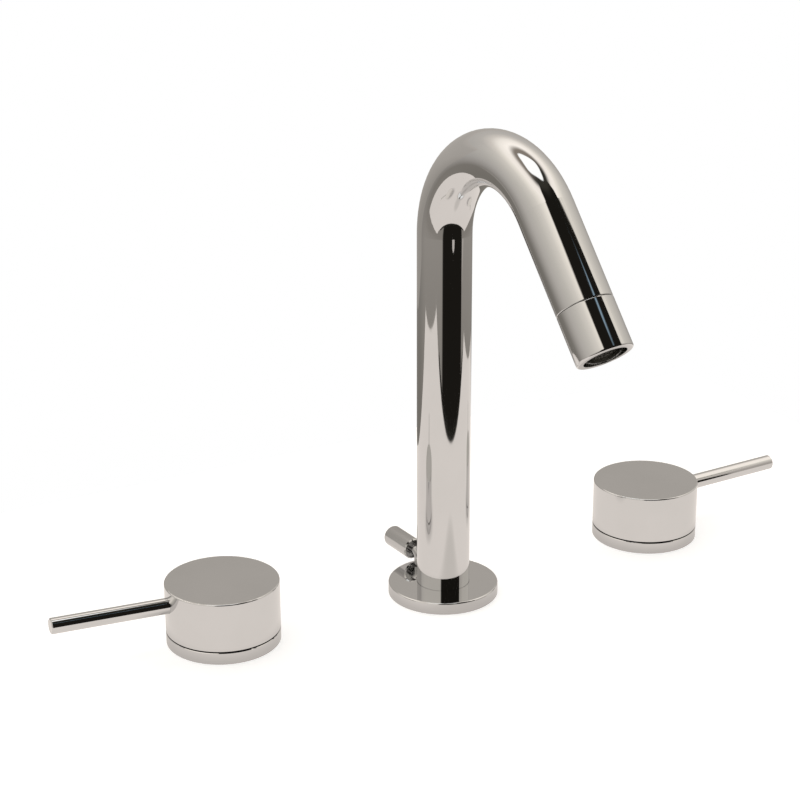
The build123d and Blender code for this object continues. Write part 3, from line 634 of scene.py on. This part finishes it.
# The clamp under the deck: a soft rubber washer, a stamped stainless one and a brass nut, chamfered
# at both ends. The washers have a slot at the back that clears the lift rod.
MARKS_ALONG, MARKS_ACROSS, MARKS_THROUGH = 30, 2400, 900


def stamped_steel(name, seed):
    """Sheet steel, rolled on its faces and torn along its cut edges."""
    clean, stained, torn = (0.58, 0.58, 0.57, 1), (0.47, 0.465, 0.455, 1), (0.40, 0.40, 0.395, 1)
    shader = Shader(bpy.data.materials.new(name))
    x, y, z = shader.points("Object")
    rolled = {0: x * MARKS_ALONG, 1: y * MARKS_ACROSS, 2: z * MARKS_THROUGH + seed}
    rolled = shader.node("ShaderNodeCombineXYZ", None, rolled)
    grain = shader.noise(rolled, scale=1.0, detail=3.0)
    stain = shader.noise(shader.place(seed), scale=70.0, detail=3.0)
    flat = abs(shader.upward()).rise(0.5, 0.8)
    tone = shader.blend(flat, torn, shader.blend(stain.rise(0.35, 0.8), clean, stained))
    rough = 0.46 - flat * 0.16 + grain.swing(0.16) + stain.rise(0.5, 0.9) * 0.1
    return shader.surface(tone, rough, grain, depth=0.00003, metal=1.0)


dress(rubber("washer_rubber", 0.6), "spout_rubber_washer")
dress(stamped_steel("washer_steel", 0.2), "spout_steel_washer")
dress(brass("brass_nuts", 0.35, SPOUT_AXIS), "spout_nut", "union_nut")


# The tee that joins the hoses from the two valves: cast brass, tumbled, its collar turned and its
# two side nipples threaded, held up to the shank by the union nut on a rubber ring.
PIPE_THREE_EIGHTHS = (0.008331, 0.001337)
TO_LEFT, TO_RIGHT = (0, -math.pi / 2, 0), (0, math.pi / 2, 0)
TEE_CAST, TEE_HEIGHT, TEE_SHOULDER, TEE_TURNS = (-0.0885, -0.0685), -0.078, 0.0145, 11.0
tee_brass = brass("brass_tee", 0.8, SPOUT_AXIS, cast=TEE_CAST, arm_height=TEE_HEIGHT)
threaded(
    "spout_tee", tee_brass,
    thread(PIPE_THREE_EIGHTHS, TEE_TURNS, (-TEE_SHOULDER, 0, TEE_HEIGHT), TO_LEFT),
    thread(PIPE_THREE_EIGHTHS, TEE_TURNS, (TEE_SHOULDER, 0, TEE_HEIGHT), TO_RIGHT),
)


# The handles: a hollow turned cap with a round lever screwed into its side and a headless steel
# screw at the back, over a base ring; a dark ring shows in the groove between cap and base. The
# steel and rubber washers, the gasket and the seals below are finished here too.
def dress_side(side, material, *pieces):
    """Give pieces of the hot or the cold unit a finish."""
    dress(material, *(f"{side}_{piece}" for piece in pieces))


for side, seed in (("hot", 0.7), ("cold", 1.3)):
    black_glide = moulded(
        f"glide_{side}", seed,
        light=(0.03, 0.03, 0.031), shade=(0.05, 0.05, 0.049), polish=0.4, fineness=1600.0,
    )
    seals = ("rubber_washer", "base_gasket", "cartridge_seal", "stem_o_rings")
    dress_side(side, chrome(f"chrome_{side}", seed), "handle_cap", "lever_rod", "base_ring")
    dress_side(side, black_glide, "glide_ring")
    dress_side(side, stamped_steel(f"screw_{side}", seed), "set_screw", "steel_washer")
    dress_side(side, rubber(f"rubber_{side}", seed), *seals)


# The cartridges and valve bodies: two lapped ceramic discs under a splined stem, in a turned
# housing that screws down into a cast body with threads at its foot, its side and its shank.
BODY_THREAD, BODY_THREAD_FOOT, INLET_THREAD_FOOT = (0.015, 0.0015), -0.0455, -0.0803
BODY_CAST, OUTLET_HEIGHT, OUTLET_SHOULDER = (-0.0657, -0.0462), -0.055, 0.0183

for side, seed, facing, heading in (("hot", 0.15, 1, TO_RIGHT), ("cold", 0.55, -1, TO_LEFT)):
    white_ceramic = moulded(
        f"ceramic_{side}", seed,
        light=(0.86, 0.85, 0.82), shade=(0.80, 0.79, 0.76), polish=0.2, fineness=900.0,
    )
    centre = middle(f"{side}_base_ring")
    outlet = (centre[0] + facing * OUTLET_SHOULDER, centre[1], OUTLET_HEIGHT)
    turned_brass = brass(f"brass_{side}", seed, centre)
    cast_brass = brass(
        f"brass_{side}_body", seed + 0.3, centre, cast=BODY_CAST, arm_height=OUTLET_HEIGHT
    )
    dress_side(side, white_ceramic, "moving_disc", "fixed_disc")
    dress_side(side, turned_brass, "cartridge_stem", "cartridge_housing", "valve_nut")
    threaded(
        f"{side}_valve_body", cast_brass,
        thread(BODY_THREAD, turns=14.0, start=(*centre, BODY_THREAD_FOOT)),
        thread(PIPE_HALF, turns=7.6, start=(*centre, INLET_THREAD_FOOT)),
        thread(PIPE_THREE_EIGHTHS, turns=7.5, start=outlet, heading=heading),
    )
